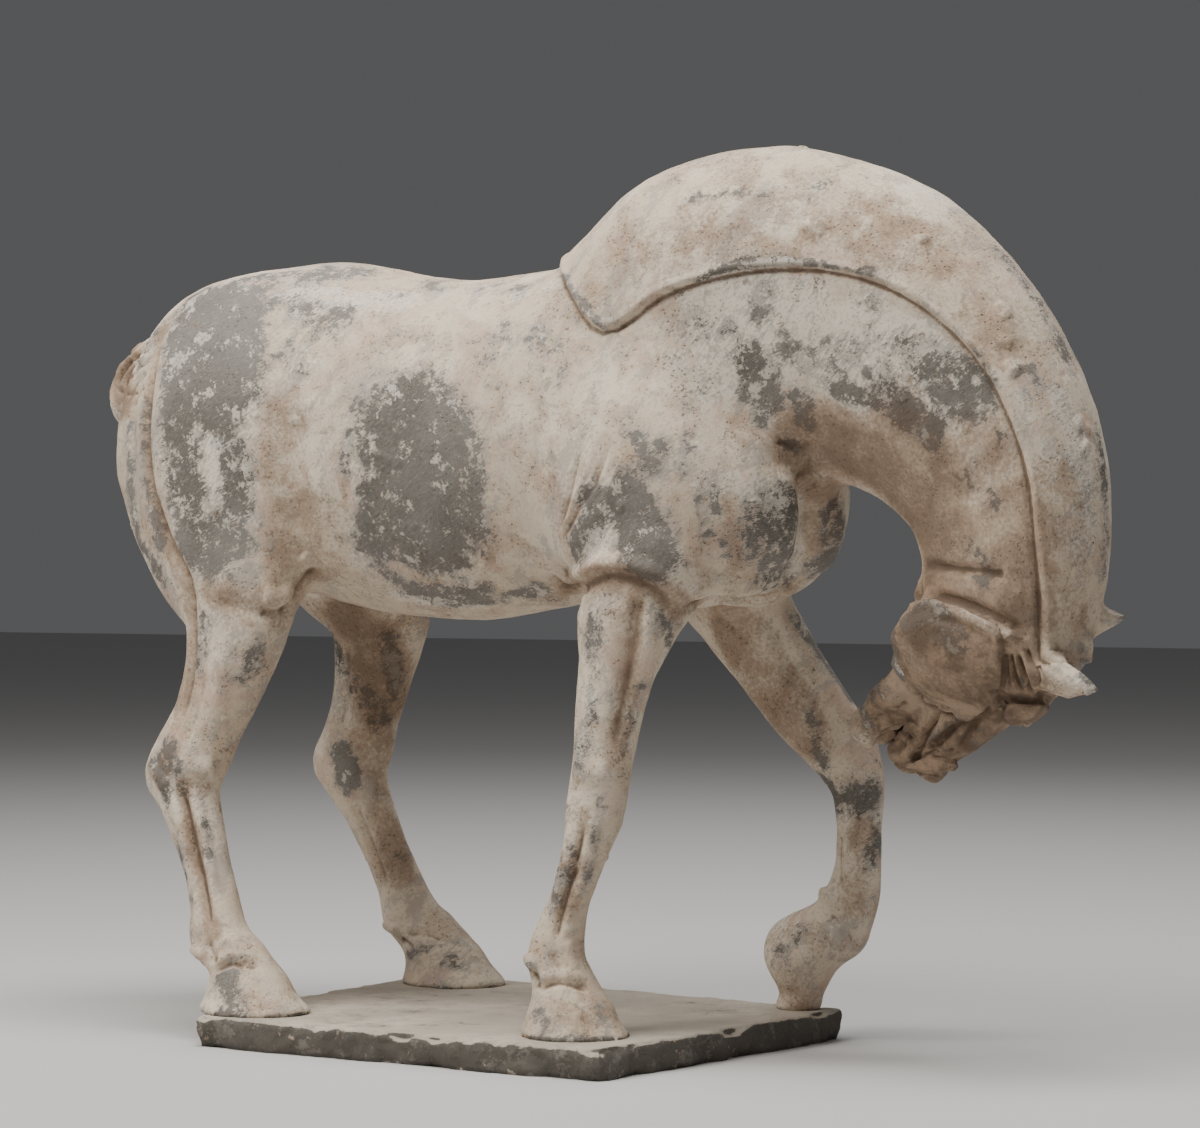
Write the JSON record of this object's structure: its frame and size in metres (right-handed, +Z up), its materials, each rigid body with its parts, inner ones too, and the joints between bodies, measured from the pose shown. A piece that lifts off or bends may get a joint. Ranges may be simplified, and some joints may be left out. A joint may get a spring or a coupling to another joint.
{
  "type": "pottery horse figure",
  "caption": "Painted grey pottery horse on a slab plinth, neck arched down to nibble its raised left foreleg, cream slip worn through in patches.",
  "frame": {"origin": "middle of the plinth's flat underside", "axes": "+X to the horse's front along the plinth's length, +Y to the horse's left, +Z up"},
  "size_m": [0.5797, 0.2234, 0.4297],
  "materials": {
    "slipped_pottery": "matte chalky cream slip worn through to a dark grey fired body, with reddish earth stains",
    "plinth_pottery": "matte cream slip on top, worn dark grey body at the cut edges"
  },
  "bodies": {
    "root": {"horse": "slipped_pottery", "plinth": "plinth_pottery"}
  },
  "joints": []
}
